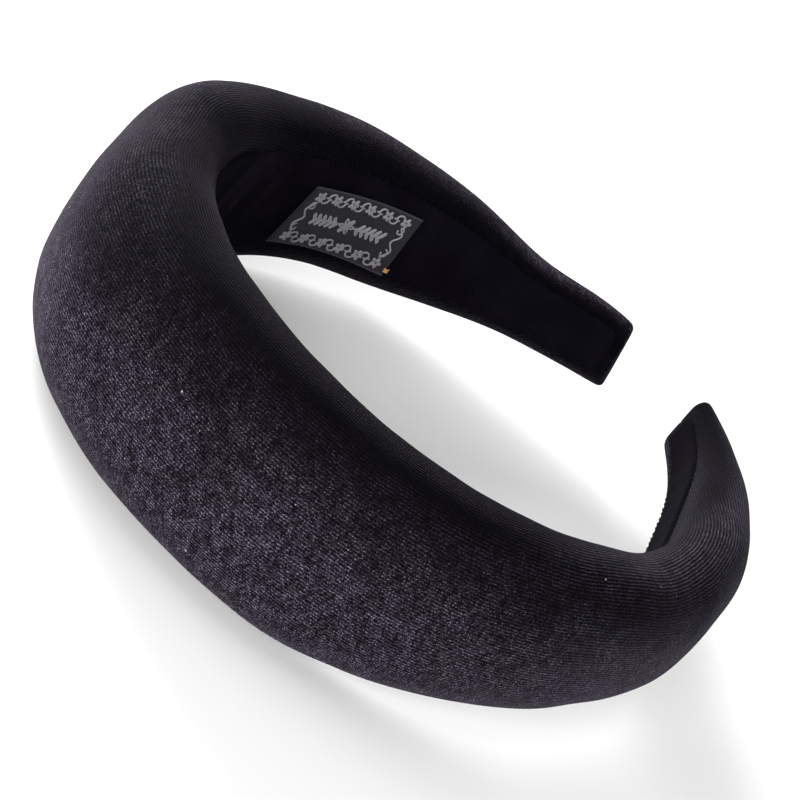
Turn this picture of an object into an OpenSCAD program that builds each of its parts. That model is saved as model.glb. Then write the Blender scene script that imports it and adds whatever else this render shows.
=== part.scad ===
// Padded velvet headband: a springy plastic hoop under a domed foam pad, covered in velvet,
// lined with velvet on the wearing face, and carrying a small woven label inside the left arm.
// It lies on its edge: +Z is up across the band, the crown points to -Y and the tips to +Y.
// Every layer is made as a left half and a right half, which meet at the crown where the hoop flexes.

/* [Hoop line] */
// Length of the wearing face from the middle of the crown to one tip
half_length = 190; // [175:1:200]
// Radius of the wearing face round the crown
crown_radius = 56.5; // [52:0.5:64]
// Length of the crown arc on each side
crown_arc = 75.5; // [60:0.5:80]
// Radius of the wearing face along each shoulder
shoulder_radius = 86.5; // [80:0.5:110]
// Length of each shoulder arc
shoulder_arc = 68; // [50:1:75]
// Radius of the wearing face towards each tip
tip_radius = 117; // [110:1:300]

/* [Pad] */
// Width of the padded band at the crown
crown_width = 49; // [40:1:56]
// Width of the band at each tip
tip_width = 18; // [16:1:24]
// Thickness of the padded band at the crown
crown_thickness = 24.5; // [18:0.5:27]
// Thickness of the band at each tip
tip_thickness = 4.6; // [4.6:0.1:7]
// Height of the widest line above the wearing face at the crown
crown_rim = 10.5; // [6:0.5:12]
// Height of the widest line above the wearing face at each tip
tip_rim = 3.1; // [3.1:0.1:3.4]
// How far the full width carries on from the crown before it tapers
width_hold = 1.75; // [1.4:0.05:3]
// How gently the width runs out into the tips
width_ease = 1.2; // [1:0.1:2]
// How far the full padding carries on from the crown before it thins
pad_hold = 2.5; // [1.6:0.1:3.5]
// How gently the padding runs out into the tips
pad_ease = 0.95; // [0.9:0.05:2]
// Fullness of the dome: 2 is an ellipse, more is squarer
dome_power = 2.45; // [2:0.05:2.6]
// Share of the half width that rounds over into the wearing face
corner_share = 0.31; // [0.25:0.01:0.4]

/* [Layers] */
// Thickness of the inner lining
lining = 0.7; // [0.5:0.1:0.7]
// Thickness of the velvet cover
velvet = 0.7; // [0.5:0.1:0.7]
// Thickness of the glue under the turned edges
glue = 0.1; // [0.05:0.05:0.1]
// Thickness of the plastic hoop
hoop_thickness = 1.4; // [1.2:0.1:1.4]
// Thickness of the adhesive tape under the foam
tape = 0.1; // [0.05:0.05:0.1]

/* [Label] */
// Distance from the middle of the crown to the near end of the label, along the band
label_start = 94; // [80:1:120]
// Length of the woven label along the band
label_length = 36; // [24:1:42]
// Height of the woven label across the band
label_width = 17; // [12:1:17]
// How far the label's middle sits below the middle of the band
label_drop = 1; // [0:0.5:1]
// Thickness of the woven label
label_thickness = 0.5; // [0.3:0.1:0.8]

/* [Seams] */
// Distance between two whip stitches
stitch_pitch = 4; // [3:0.5:8]
// Diameter of the sewing thread
thread = 0.4; // [0.3:0.05:0.5]

/* [Flex] */
// Angle that the two arms can be spread by, in degrees
spread = 14; // [8:1:16]
// Angle that the two arms can be squeezed by, in degrees
squeeze = 5; // [2:1:6]

/* [Hidden] */

velvet_black = "#1d1a20";
lining_black = "#17151a";
hoop_grey = "#d9d9d4";
foam_white = "#e9e6dc";
tape_white = "#f2f1ec";
glue_amber = "#e5d9b0";
thread_black = "#26232a";
label_grey = "#4b4a50";
tack_gold = "#c8893a";

steps = 36;          // stations along each half, before the two at the tip
dome_steps = 16;     // points over the dome
corner_steps = 5;    // points round each lower corner
fit_gap = 0.25;      // room between the foam and the cover
crown_gap = 0.4;     // room between the two halves at the flex line
flex_room = 0.5;     // spare angle of the notch on each side, in degrees
end_inset = 3;       // how far the lining stops short of the tip
end_round = 5;       // length over which the tip's corners round off
end_narrowing = 0.16; // share of the width lost at the tip's corners
end_curve = 2.5;     // how late that narrowing sets in
hem_share = 0.42;    // share of the flat half width where the turned-in edges stop
hoop_margin = 0.2;   // room between the hoop's edges and the cover's rounded corners
tape_margin = 1;     // how far the tape stops short of the hoop's edges
glue_margin = 0.4;   // how far the glue stops short of the edges round it
lining_margin = 0.3; // how far the lining stops short of the flat face's edges
lining_bevel = 0.25; // softened long edges of the lining
hoop_bevel = 0.4;    // softened long edges of the hoop
stitch_margin = 4;   // first and last stitch to the lining's ends
stitch_slope = 30;   // angle that a stitch dips at, over the lining's edge
stitch_inner = 0.7;  // length of a stitch on the lining
stitch_outer = 1.12; // length of a stitch on the cover
label_steps = 12;    // stretches along the label
tack_inset = 1.5;    // label's end to the middle of its tack
tack_rise = 2;       // label's lower edge to the middle of its tack
tack_width = 1.4;    // diameter of the tack
tack_height = 0.5;   // height of the tack on the label
label_lift = 0.06;   // room between the label and the lining
radian = 180 / PI;

// Heights of the layers above the wearing face
hem_low = lining;
hem_high = hem_low + velvet;
hoop_low = hem_high + glue;
hoop_high = hoop_low + hoop_thickness;
foam_low = hoop_high + tape;
flex_height = (hoop_low + hoop_high) / 2;

// The hoop line: three arcs that follow on from each other, as heading and position at a length s
shoulder_end = crown_arc + shoulder_arc;
crown_turn = crown_arc / crown_radius * radian;
shoulder_turn = crown_turn + shoulder_arc / shoulder_radius * radian;
function heading(s) =
    s < crown_arc ? s / crown_radius * radian
    : s < shoulder_end ? crown_turn + (s - crown_arc) / shoulder_radius * radian
    : shoulder_turn + (s - shoulder_end) / tip_radius * radian;
function arc_from(start, from, to, radius) =
    start + radius * [sin(to) - sin(from), cos(from) - cos(to)];
crown_end_point = arc_from([0, 0], 0, crown_turn, crown_radius);
shoulder_end_point = arc_from(crown_end_point, crown_turn, shoulder_turn, shoulder_radius);
function line_point(s) =
    s < crown_arc ? arc_from([0, 0], 0, heading(s), crown_radius)
    : s < shoulder_end ? arc_from(crown_end_point, crown_turn, heading(s), shoulder_radius)
    : arc_from(shoulder_end_point, shoulder_turn, heading(s), tip_radius);
function outward(s) = [sin(heading(s)), -cos(heading(s))];

// The frame's origin is under the middle of the whole headband's outline
tip_reach = (line_point(half_length) + tip_thickness * outward(half_length))[1];
centre_y = (tip_reach - crown_thickness) / 2;
centre_z = crown_width / 2;
function place(s, n, z) =
    let (p = line_point(s) + n * outward(s))
    [p[0], p[1] - centre_y, z + centre_z];

// Tapered sizes along the band
function taper(s, hold, ease) = pow(1 - pow(min(s / half_length, 1), hold), ease);
function blend(tip, crown, share) = tip + (crown - tip) * share;
function tip_squeeze(s) =
    1 - end_narrowing * pow(max(0, (s - half_length + end_round) / end_round), end_curve);
function half_width(s) =
    blend(tip_width, crown_width, taper(s, width_hold, width_ease)) / 2 * tip_squeeze(s);
function thickness(s) = blend(tip_thickness, crown_thickness, taper(s, pad_hold, pad_ease));
function rim(s) = blend(tip_rim, crown_rim, taper(s, pad_hold, pad_ease));
function corner(s) = corner_share * half_width(s);
function flat_half(s) = half_width(s) - corner(s);
function lining_half(s) = flat_half(s) - lining_margin;
function hem_half(s) = hem_share * flat_half(s);
function inner_flat(s) = flat_half(s) - velvet;
function hoop_half(s) = inner_flat(s) - hoop_margin;

// Where station i lies at height n: the halves start on a notch that leaves room to flex
function notch(n) =
    n > flex_height
        ? crown_gap / 2 + (n - flex_height) * tan(spread / 2 + flex_room)
        : crown_gap / 2 + (flex_height - n) * tan(squeeze / 2 + flex_room);
function start_length(n) = crown_radius * asin(notch(n) / (crown_radius + n)) / radian;
function station(i) =
    i <= steps ? (half_length - end_inset) * i / steps
    : i == steps + 1 ? half_length - velvet : half_length;
function along(i, n) = station(i) + start_length(n) * (1 - station(i) / half_length);
function ring(i, outline) = [for (q = outline) place(along(i, q[1]), q[1], q[0])];

// Section outlines as [across, height] points, from one lower corner over the dome to the other
function corner_points(s, grow, low, side) = [for (k = [1 : corner_steps])
    let (a = 90 * k / corner_steps, edge = half_width(s) - grow)
    [side * (edge - corner(s) * (1 - cos(a))), rim(s) - (rim(s) - low) * sin(a)]];
function dome_points(s, grow) = [for (k = [0 : dome_steps])
    let (a = -90 + 180 * k / dome_steps, top = thickness(s) - grow - rim(s))
    [sign(a) * (half_width(s) - grow) * pow(abs(sin(a)), 2 / dome_power),
        rim(s) + top * pow(abs(cos(a)), 2 / dome_power)]];
function reversed(list) = [for (k = [len(list) - 1 : -1 : 0]) list[k]];
// One skin of the cover, from the lower turned edge round to the upper one
function skin(s, grow, low) = concat(
    [[-hem_half(s), low]],
    reversed(corner_points(s, grow, low, -1)),
    dome_points(s, grow),
    corner_points(s, grow, low, 1),
    [[hem_half(s), low]]);
// The foam's section: the same dome, cut off flat at the tape
function foam_outline(s) =
    let (grow = velvet + fit_gap, drop = rim(s) - foam_low,
        depth = rim(s) - hem_high - fit_gap, last = asin(drop / depth))
    concat(
        [for (k = [corner_steps : -1 : 1])
            let (a = last * k / corner_steps)
            [-(half_width(s) - grow - corner(s) * (1 - cos(a))), rim(s) - depth * sin(a)]],
        dome_points(s, grow),
        [for (k = [1 : corner_steps])
            let (a = last * k / corner_steps)
            [half_width(s) - grow - corner(s) * (1 - cos(a)), rim(s) - depth * sin(a)]]);
// A flat strip's section, with its long edges bevelled
function strip(from, to, low, high, bevel) = [
    [from, low + bevel], [from, high - bevel], [from + bevel, high], [to - bevel, high],
    [to, high - bevel], [to, low + bevel], [to - bevel, low], [from + bevel, low]];
function plain_strip(from, to, low, high) = [[from, low], [from, high], [to, high], [to, low]];

// Solids that follow the band
function band_faces(rings, points) = concat(
    [for (i = [0 : rings - 2], j = [0 : points - 1])
        [i * points + j, (i + 1) * points + (j + 1) % points, i * points + (j + 1) % points]],
    [for (i = [0 : rings - 2], j = [0 : points - 1])
        [i * points + j, (i + 1) * points + j, (i + 1) * points + (j + 1) % points]],
    [for (j = [1 : points - 2]) [0, j, j + 1]],
    [for (j = [1 : points - 2])
        let (last = (rings - 1) * points) [last, last + j + 1, last + j]]);
module loft(rings) {
    polyhedron(
        points = [for (r = rings) each r],
        faces = band_faces(len(rings), len(rings[0])));
}
// The cover is a folded sheet: an outer skin, an inner skin, and a closed end at the tip
module folded_cover() {
    count = len(skin(0, 0, hem_low));
    outer = [for (i = [0 : steps + 2]) each ring(i, skin(station(i), 0, hem_low))];
    inner = [for (i = [0 : steps + 1]) each ring(i, skin(station(i), velvet, hem_high))];
    base = len(outer);
    last = steps + 2;
    function o(i, j) = i * count + j;
    function q(i, j) = base + i * count + j;
    far = count - 1;
    top = floor(count / 2);
    polyhedron(points = concat(outer, inner), faces = concat(
        [for (i = [0 : last - 1], j = [0 : far - 1]) [o(i, j), o(i + 1, j + 1), o(i, j + 1)]],
        [for (i = [0 : last - 1], j = [0 : far - 1]) [o(i, j), o(i + 1, j), o(i + 1, j + 1)]],
        [for (i = [0 : last - 2], j = [0 : far - 1]) [q(i, j), q(i, j + 1), q(i + 1, j + 1)]],
        [for (i = [0 : last - 2], j = [0 : far - 1]) [q(i, j), q(i + 1, j + 1), q(i + 1, j)]],
        [for (j = [0 : far - 1]) [o(0, j), o(0, j + 1), q(0, j + 1)]],
        [for (j = [0 : far - 1]) [o(0, j), q(0, j + 1), q(0, j)]],
        [for (i = [0 : last - 2]) [o(i, 0), q(i, 0), q(i + 1, 0)]],
        [for (i = [0 : last - 2]) [o(i, 0), q(i + 1, 0), o(i + 1, 0)]],
        [for (i = [0 : last - 2]) [o(i, far), q(i + 1, far), q(i, far)]],
        [for (i = [0 : last - 2]) [o(i, far), o(i + 1, far), q(i + 1, far)]],
        [for (j = [1 : far - 1])
            [o(last, top), o(last, (top + j + 1) % count), o(last, (top + j) % count)]],
        [for (j = [1 : far - 1])
            [q(last - 1, top), q(last - 1, (top + j) % count), q(last - 1, (top + j + 1) % count)]],
        [[o(last - 1, 0), o(last, far), o(last, 0)], [o(last - 1, 0), o(last - 1, far), o(last, far)]],
        [[o(last - 1, 0), q(last - 1, 0), q(last - 1, far)],
            [o(last - 1, 0), q(last - 1, far), o(last - 1, far)]]));
}

module half(side) {
    mirror([side < 0 ? 1 : 0, 0, 0])
        children();
}

module hoop(side) {
    color(hoop_grey) half(side)
        loft([for (i = [0 : steps + 1]) let (w = hoop_half(station(i)))
            ring(i, strip(-w, w, hoop_low, hoop_high, hoop_bevel))]);
}

module foam_tape(side) {
    color(tape_white) half(side)
        loft([for (i = [0 : steps + 1]) let (w = hoop_half(station(i)) - tape_margin)
            ring(i, plain_strip(-w, w, hoop_high, foam_low))]);
}

module foam_pad(side) {
    color(foam_white) half(side)
        loft([for (i = [0 : steps + 1]) ring(i, foam_outline(station(i)))]);
}

module velvet_cover(side) {
    color(velvet_black) half(side)
        folded_cover();
}

module hem_glue(side) {
    color(glue_amber) half(side)
        for (edge = [-1, 1])
            loft([for (i = [0 : steps + 1])
                let (inner = edge * (hem_half(station(i)) + glue_margin),
                    outer = edge * (inner_flat(station(i)) - glue_margin),
                    a = min(inner, outer), b = max(inner, outer))
                ring(i, plain_strip(a, b, hem_high, hoop_low))]);
}

module lining_glue(side) {
    color(glue_amber) half(side)
        loft([for (i = [0 : steps]) let (w = hem_half(station(i)) - glue_margin)
            ring(i, plain_strip(-w, w, lining, hoop_low))]);
}

module inner_lining(side) {
    color(lining_black) half(side)
        loft([for (i = [0 : steps]) let (w = lining_half(station(i)))
            ring(i, strip(-w, w, 0, lining, lining_bevel))]);
}

// Short slanted stitches that tie the lining's edge down to the turned edge of the cover
module seam_stitches(side, edge) {
    lift = thread / 2 / cos(stitch_slope) - lining_bevel * tan(stitch_slope);
    lean = edge > 0 ? stitch_slope : 180 - stitch_slope;
    color(thread_black) half(side)
        for (s = [stitch_margin : stitch_pitch : half_length - end_inset - stitch_margin])
            translate(place(s, -lift, edge * lining_half(s)))
                rotate([0, 0, heading(s)])
                    rotate([lean, 0, 0])
                        translate([0, 0, -stitch_inner])
                            cylinder(d = thread, h = stitch_inner + stitch_outer, $fn = 16);
}

module woven_label() {
    low = -label_width / 2 - label_drop;
    face = -label_lift - label_thickness;
    color(label_grey) half(-1)
        loft([for (k = [0 : label_steps])
            let (s = label_start + label_length * k / label_steps)
            [for (q = plain_strip(low, low + label_width, face, -label_lift))
                place(s, q[1], q[0])]]);
}

module label_tack() {
    s = label_start + label_length - tack_inset;
    low = -label_width / 2 - label_drop;
    color(tack_gold) half(-1)
        translate(place(s, -label_lift - label_thickness - tack_height, low + tack_rise))
            rotate([0, 0, heading(s)])
                rotate([-90, 0, 0])
                    cylinder(d = tack_width, h = tack_height, $fn = 24);
}

hoop(-1);  // hoop_left
hoop(1);  // hoop_right
foam_tape(-1);  // foam_tape_left
foam_tape(1);  // foam_tape_right
foam_pad(-1);  // foam_pad_left
foam_pad(1);  // foam_pad_right
velvet_cover(-1);  // velvet_cover_left
velvet_cover(1);  // velvet_cover_right
hem_glue(-1);  // hem_glue_left
hem_glue(1);  // hem_glue_right
lining_glue(-1);  // lining_glue_left
lining_glue(1);  // lining_glue_right
inner_lining(-1);  // inner_lining_left
inner_lining(1);  // inner_lining_right
seam_stitches(-1, 1);  // upper_seam_stitches_left
seam_stitches(1, 1);  // upper_seam_stitches_right
seam_stitches(-1, -1);  // lower_seam_stitches_left
seam_stitches(1, -1);  // lower_seam_stitches_right
woven_label();
label_tack();
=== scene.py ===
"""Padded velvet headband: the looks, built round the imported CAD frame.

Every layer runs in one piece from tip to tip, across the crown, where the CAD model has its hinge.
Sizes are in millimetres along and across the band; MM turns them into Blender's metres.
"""

import math

import bmesh
import bpy
import numpy as np
from mathutils import Matrix, Vector


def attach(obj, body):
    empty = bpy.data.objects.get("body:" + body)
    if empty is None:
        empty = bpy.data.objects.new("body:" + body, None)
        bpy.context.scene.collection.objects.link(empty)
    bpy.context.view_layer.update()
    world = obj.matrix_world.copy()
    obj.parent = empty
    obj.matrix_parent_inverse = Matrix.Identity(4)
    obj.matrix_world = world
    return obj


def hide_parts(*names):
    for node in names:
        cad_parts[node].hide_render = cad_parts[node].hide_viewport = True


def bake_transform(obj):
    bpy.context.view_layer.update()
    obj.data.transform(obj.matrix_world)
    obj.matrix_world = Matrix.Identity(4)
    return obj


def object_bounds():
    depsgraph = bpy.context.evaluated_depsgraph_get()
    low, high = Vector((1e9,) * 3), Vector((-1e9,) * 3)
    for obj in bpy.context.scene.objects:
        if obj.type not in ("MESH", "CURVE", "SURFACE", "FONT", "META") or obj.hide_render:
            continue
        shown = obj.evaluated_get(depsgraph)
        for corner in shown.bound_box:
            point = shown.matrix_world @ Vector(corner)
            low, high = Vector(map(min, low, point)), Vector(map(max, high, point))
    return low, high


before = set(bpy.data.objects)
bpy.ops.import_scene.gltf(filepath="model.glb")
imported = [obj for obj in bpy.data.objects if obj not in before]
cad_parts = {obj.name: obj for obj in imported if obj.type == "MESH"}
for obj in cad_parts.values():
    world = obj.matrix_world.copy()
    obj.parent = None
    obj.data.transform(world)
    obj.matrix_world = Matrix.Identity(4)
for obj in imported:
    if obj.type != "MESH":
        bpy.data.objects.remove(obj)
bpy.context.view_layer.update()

MM = 0.001

# ---------------------------------------------------------------- driving sizes
# The CAD model's sizes, fitted more finely to the photo. A pair is the left arm's value and the right arm's,
# because the real band, at rest, isn't quite the same on both sides; the CAD model has one value for both.

HALF_LENGTH = 190.0
CROWN_RADIUS, CROWN_ARC = (55.8, 57.7), 76.6
SHOULDER_RADIUS, SHOULDER_ARC = (91.5, 82.0), 68.0
TIP_RADIUS = (130.0, 108.5)
CROWN_WIDTH, TIP_WIDTH = 49.3, (18.8, 16.6)
CROWN_THICKNESS, TIP_THICKNESS = 24.4, (4.6, 4.6)
CROWN_RIM, TIP_RIM = 11.0, 3.1
WIDTH_HOLD, WIDTH_EASE = (1.99, 1.56), 1.12
PAD_HOLD, PAD_EASE = (2.45, 2.53), (1.03, 0.92)
DOME_POWER = 2.48
CORNER_SHARE = (0.32, 0.46)   # of the half width, for the corner between the dome and the wearing face
CORNER_CHANGE = (15.0, 75.0)  # where that share starts to change to the right arm's, and over how far
END_ROUND, END_NARROWING, END_CURVE = 4.0, 0.03, 2.5
LINING, VELVET, GLUE, HOOP, TAPE = 0.7, 0.7, 0.1, 1.4, 0.1
HEM_SHARE, LINING_MARGIN, END_INSET = 0.42, 0.3, 3.0
FIT_GAP, HOOP_MARGIN, TAPE_MARGIN, GLUE_MARGIN = 0.25, 0.2, 1.0, 0.4
LABEL_START, LABEL_LENGTH, LABEL_WIDTH, LABEL_DROP = 94.5, 34.6, 17.6, 1.7
LABEL_SLANT = 1.9             # the near end of the label was cut askew by this much at each corner
LABEL_THICKNESS, LABEL_LIFT = 0.5, 0.06
LABEL_SLACK = 0.12            # the label isn't quite flat: its face is raised by this, its back by twice that
LABEL_FOLD = 5.5              # the label's ends are turned under by this much
THREAD, STITCH_PITCH, STITCH_MARGIN = 0.4, 2.0, 4.0
STITCH_ADVANCE, STITCH_REACH, STITCH_START = 1.1, 1.65, 0.75
THREAD_END = 0.55             # a thread's ends narrow to this share of its radius
END_GAP = 2.4                 # the layers inside the cover stop this far from its ends
HEM_MEET = 4.0                # the turned-in edges meet this far from the lining's ends
FOAM_SLACK = 0.15             # further room between the foam and the cover
LINING_GLUE_END = 9.0         # the lining's glue stops this far from the lining's ends
LAYER_STEP = 4.0              # from one section of a hidden layer to the next

# On the right arm the cover comes further over the wearing face: by how much on the upper edge, where along
# the arm, how far that spreads, and the lower edge's share of it.
COVERED_EDGE, COVERED_CENTRE, COVERED_SPREAD, COVERED_LOWER_SHARE = 5.6, 134.0, 27.0, 0.28

# The cover's section: points over the dome, and from there round a corner and along a turned-in edge.
DOME_POINTS, CORNER_POINTS, HEM_POINTS = 33, 8, 3

HEM_LOW = LINING
HEM_HIGH = HEM_LOW + VELVET
HOOP_LOW = HEM_HIGH + GLUE
HOOP_HIGH = HOOP_LOW + HOOP
FOAM_LOW = HOOP_HIGH + TAPE

PAD_SHIFT = -3.5              # the middle of the pad sits this far towards the left arm
TWIST, TWIST_BOW = 2.84, 0.71  # how far the right tip is raised and the left one lowered, and both raised
LEFT_END_RISE = 0.5           # the left tip turns up by this much
LEFT_END_SLANT = 0.17         # and its end is this much askew, as length per width
LEFT_END_STRETCH, RIGHT_END_STRETCH = 1.0, 1.5  # each end reaches this much further than the CAD model's
END_PART = 65.0               # what differs at an end grows over this much of the arm

# Where the stuffing makes the outline stand out (+) or draws it in (-): the length along, how far it
# spreads, and by how much. INNER_FACE brings the wearing face nearer to the head and leaves the dome.
UPPER_EDGE = (
    (-163.0, 15.0, -3.4),
    (-140.0, 20.0, -1.2),
    (-60.0, 12.0, 1.8),
    (103.0, 14.0, -2.2),
    (184.0, 11.0, -0.3),
)
LOWER_EDGE = (
    (-135.0, 18.0, 1.5),
    (-102.0, 13.0, -0.9),
    (12.0, 12.0, -0.7),
    (40.0, 14.0, 0.9),
    (80.0, 18.0, -1.3),
    (142.0, 17.0, 2.6),
)
THICKNESS = (
    (-48.0, 15.0, -1.5),
    (-26.0, 14.0, 1.0),
    (-4.0, 18.0, 0.4),
    (113.0, 11.0, 0.8),
    (130.0, 9.0, -0.5),
)
INNER_FACE = ((148.0, 22.0, 2.0),)
CAD_REACH = (60.9156, 24.5)   # from the crown's wearing face to the frame's origin, along Y and Z

# ---------------------------------------------------------------- the hoop line


def arm(s, value):
    """The left or the right arm's value at each length s, which is negative along the left arm."""
    return np.where(np.asarray(s) < 0, value[0], value[1])


def turns(s):
    """Radii of the three arcs at each length, and the heading where the first and the second arc end."""
    crown, shoulder, tip = arm(s, CROWN_RADIUS), arm(s, SHOULDER_RADIUS), arm(s, TIP_RADIUS)
    crown_turn = CROWN_ARC / crown
    return crown, shoulder, tip, crown_turn, crown_turn + SHOULDER_ARC / shoulder


def turn(s):
    """How far the band has turned, in radians, at each length from the middle of the crown."""
    crown, shoulder, tip, crown_turn, shoulder_turn = turns(s)
    a = np.abs(s)
    past_crown, past_shoulder = a - CROWN_ARC, a - CROWN_ARC - SHOULDER_ARC
    return np.where(
        past_crown < 0,
        a / crown,
        np.where(past_shoulder < 0, crown_turn + past_crown / shoulder, shoulder_turn + past_shoulder / tip),
    )


def arc(start, turn_from, turn_to, radius):
    """Where an arc ends that begins at start and turns from one heading to another."""
    return (
        start[0] + radius * (np.sin(turn_to) - np.sin(turn_from)),
        start[1] + radius * (np.cos(turn_from) - np.cos(turn_to)),
    )


def line(s):
    """x and y of the wearing face's middle line, with the crown at y = 0."""
    crown, shoulder, tip, crown_turn, shoulder_turn = turns(s)
    now = turn(s)
    a = np.abs(s)
    first = arc((0.0, 0.0), 0.0, np.minimum(now, crown_turn), crown)
    second = arc(first, crown_turn, np.clip(now, crown_turn, shoulder_turn), shoulder)
    third = arc(second, shoulder_turn, np.maximum(now, shoulder_turn), tip)
    x, y = (
        np.where(a < CROWN_ARC, first[k], np.where(a < CROWN_ARC + SHOULDER_ARC, second[k], third[k]))
        for k in (0, 1)
    )
    return np.sign(s) * x, y


def swell(s, places):
    """How far one of the tables above pushes out at each length s."""
    return sum(amount * np.exp(-(((s - centre) / spread) ** 2)) for centre, spread, amount in places)


def place(s, height, across):
    """Points in the row frame, in millimetres.

    s is the length along, height is above the wearing face, and across is measured from the middle.
    """
    s, height, across = np.broadcast_arrays(*(np.asarray(v, float) for v in (s, height, across)))
    out = s / HALF_LENGTH
    plain = HALF_LENGTH - END_PART
    left_end, right_end = (np.clip((side * s - plain) / END_PART, 0, None) ** 2 for side in (-1, 1))
    edge = np.where(across > 0, swell(s, UPPER_EDGE), swell(s, LOWER_EDGE))
    across = across * (1 + edge / half_width(s))
    inward = swell(s, INNER_FACE)
    height = height * (1 + (swell(s, THICKNESS) + inward) / thickness(s)) - inward
    s = s + (LEFT_END_SLANT * across - LEFT_END_STRETCH) * left_end + RIGHT_END_STRETCH * right_end
    lift = TWIST * out + TWIST_BOW * out**2 + LEFT_END_RISE * left_end
    x, y = line(s)
    heading = np.sign(s) * turn(s)
    x = x + height * np.sin(heading)
    y = y - height * np.cos(heading) - CAD_REACH[0]
    return np.stack([x, y, across + CAD_REACH[1] + lift], -1)


# ---------------------------------------------------------------- tapered sizes


def pad_share(s):
    """How far out a length is from the middle of the pad: 0 there and 1 at the tips."""
    away = s - PAD_SHIFT
    return np.clip(np.abs(away) / (HALF_LENGTH - np.sign(away) * PAD_SHIFT), 0, 1)


def taper(s, hold, ease):
    return (1 - pad_share(s) ** hold) ** ease


def half_width(s):
    near_end = np.maximum(0, (np.abs(s) - HALF_LENGTH + END_ROUND) / END_ROUND)
    tip = arm(s, TIP_WIDTH)
    full = tip + (CROWN_WIDTH - tip) * taper(s, arm(s - PAD_SHIFT, WIDTH_HOLD), WIDTH_EASE)
    return full / 2 * (1 - END_NARROWING * near_end**END_CURVE)


def pad_taper(s):
    side = s - PAD_SHIFT
    return taper(s, arm(side, PAD_HOLD), arm(side, PAD_EASE))


def thickness(s):
    tip = arm(s, TIP_THICKNESS)
    return tip + (CROWN_THICKNESS - tip) * pad_taper(s)


def rim(s):
    return TIP_RIM + (CROWN_RIM - TIP_RIM) * pad_taper(s)


def corner(s):
    """Width of the rounded corner between the dome and the wearing face; the right arm is rounder."""
    x = np.clip((s - CORNER_CHANGE[0]) / CORNER_CHANGE[1], 0, 1)
    share = CORNER_SHARE[0] + (CORNER_SHARE[1] - CORNER_SHARE[0]) * x * x * (3 - 2 * x)
    return share * half_width(s)


def flat_half(s):
    return half_width(s) - corner(s)


def hem_half(s):
    """Where the turned-in edges stop. Under the lining's ends they meet, so the sleeve is closed."""
    opened = np.clip((HALF_LENGTH - END_INSET - HEM_MEET - np.abs(s)) / HEM_MEET, 0, 1)
    return HEM_SHARE * flat_half(s) * opened


def covered(s):
    """How much further the cover's upper edge comes over the wearing face, on the right arm."""
    return COVERED_EDGE * np.exp(-(((s - COVERED_CENTRE) / COVERED_SPREAD) ** 2))


def hem_edge(s, edge):
    """Where the cover's lower (-1) or upper (+1) turned-in edge stops."""
    return edge * hem_half(s) - covered(s) * (1.0 if edge > 0 else COVERED_LOWER_SHARE)


def lining_half(s):
    return flat_half(s) - LINING_MARGIN


def lining_edge(s, edge):
    """The lining's lower (-1) or upper (+1) edge."""
    return edge * lining_half(s) - covered(s) * (edge > 0)


def hoop_half(s):
    return flat_half(s) - VELVET - HOOP_MARGIN


def dome(s, grow, count):
    """Across and height of the dome's points, one row for each s."""
    a = np.linspace(-math.pi / 2, math.pi / 2, count)[None, :]
    s = s[:, None]
    across = np.sign(a) * (half_width(s) - grow) * np.abs(np.sin(a)) ** (2 / DOME_POWER)
    height = rim(s) + (thickness(s) - grow - rim(s)) * np.abs(np.cos(a)) ** (2 / DOME_POWER)
    return across, height


def lower_corner(s, grow, low, count):
    """Across and height of the rounded corner from the widest line to the wearing face, on the upper edge."""
    a = np.linspace(0, math.pi / 2, count + 1)[None, 1:]
    s = s[:, None]
    return half_width(s) - grow - corner(s) * (1 - np.cos(a)), rim(s) - (rim(s) - low) * np.sin(a)


def skin(s, low):
    """A whole section of the cover from the lower turned-in edge, over the dome, to the upper one."""
    dome_across, dome_height = dome(s, 0.0, DOME_POINTS)
    corner_across, corner_height = lower_corner(s, 0.0, low, CORNER_POINTS)
    share = np.linspace(0, 1, HEM_POINTS + 1)[None, 1:]
    start = corner_across[:, -1:]
    lower_hem, upper_hem = (
        edge * start + (hem_edge(s, edge)[:, None] - edge * start) * share for edge in (-1, 1)
    )
    hem_height = np.full(upper_hem.shape, low)
    across = np.concatenate(
        [lower_hem[:, ::-1], -corner_across[:, ::-1], dome_across, corner_across, upper_hem], 1
    )
    height = np.concatenate([hem_height, corner_height[:, ::-1], dome_height, corner_height, hem_height], 1)
    return across, height


# ---------------------------------------------------------------- mesh helpers


def new_object(name, points, faces):
    """A smooth mesh object from points in millimetres."""
    mesh = bpy.data.meshes.new(name)
    mesh.from_pydata((np.asarray(points) * MM).tolist(), [], faces)
    mesh.update()
    mesh.polygons.foreach_set("use_smooth", [True] * len(mesh.polygons))
    obj = bpy.data.objects.new(name, mesh)
    bpy.context.scene.collection.objects.link(obj)
    return obj


def grid_faces(rows, columns, closed=False, base=0):
    """Four-sided faces between rows of points, the first of which has the number base."""
    last = columns if closed else columns - 1
    return [
        (
            base + i * columns + j,
            base + (i + 1) * columns + j,
            base + (i + 1) * columns + (j + 1) % columns,
            base + i * columns + (j + 1) % columns,
        )
        for i in range(rows - 1)
        for j in range(last)
    ]


def closed_faces(rings, sides, base=0):
    """The faces of a closed form between rings of points, both ends included."""
    first = tuple(base + k for k in range(sides))
    last = tuple(base + k for k in reversed(range((rings - 1) * sides, rings * sides)))
    return [*grid_faces(rings, sides, closed=True, base=base), first, last]


def pairs(a, b):
    """Two grids of the same size as one list of pairs."""
    return np.stack([a.ravel(), b.ravel()], 1)


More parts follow.
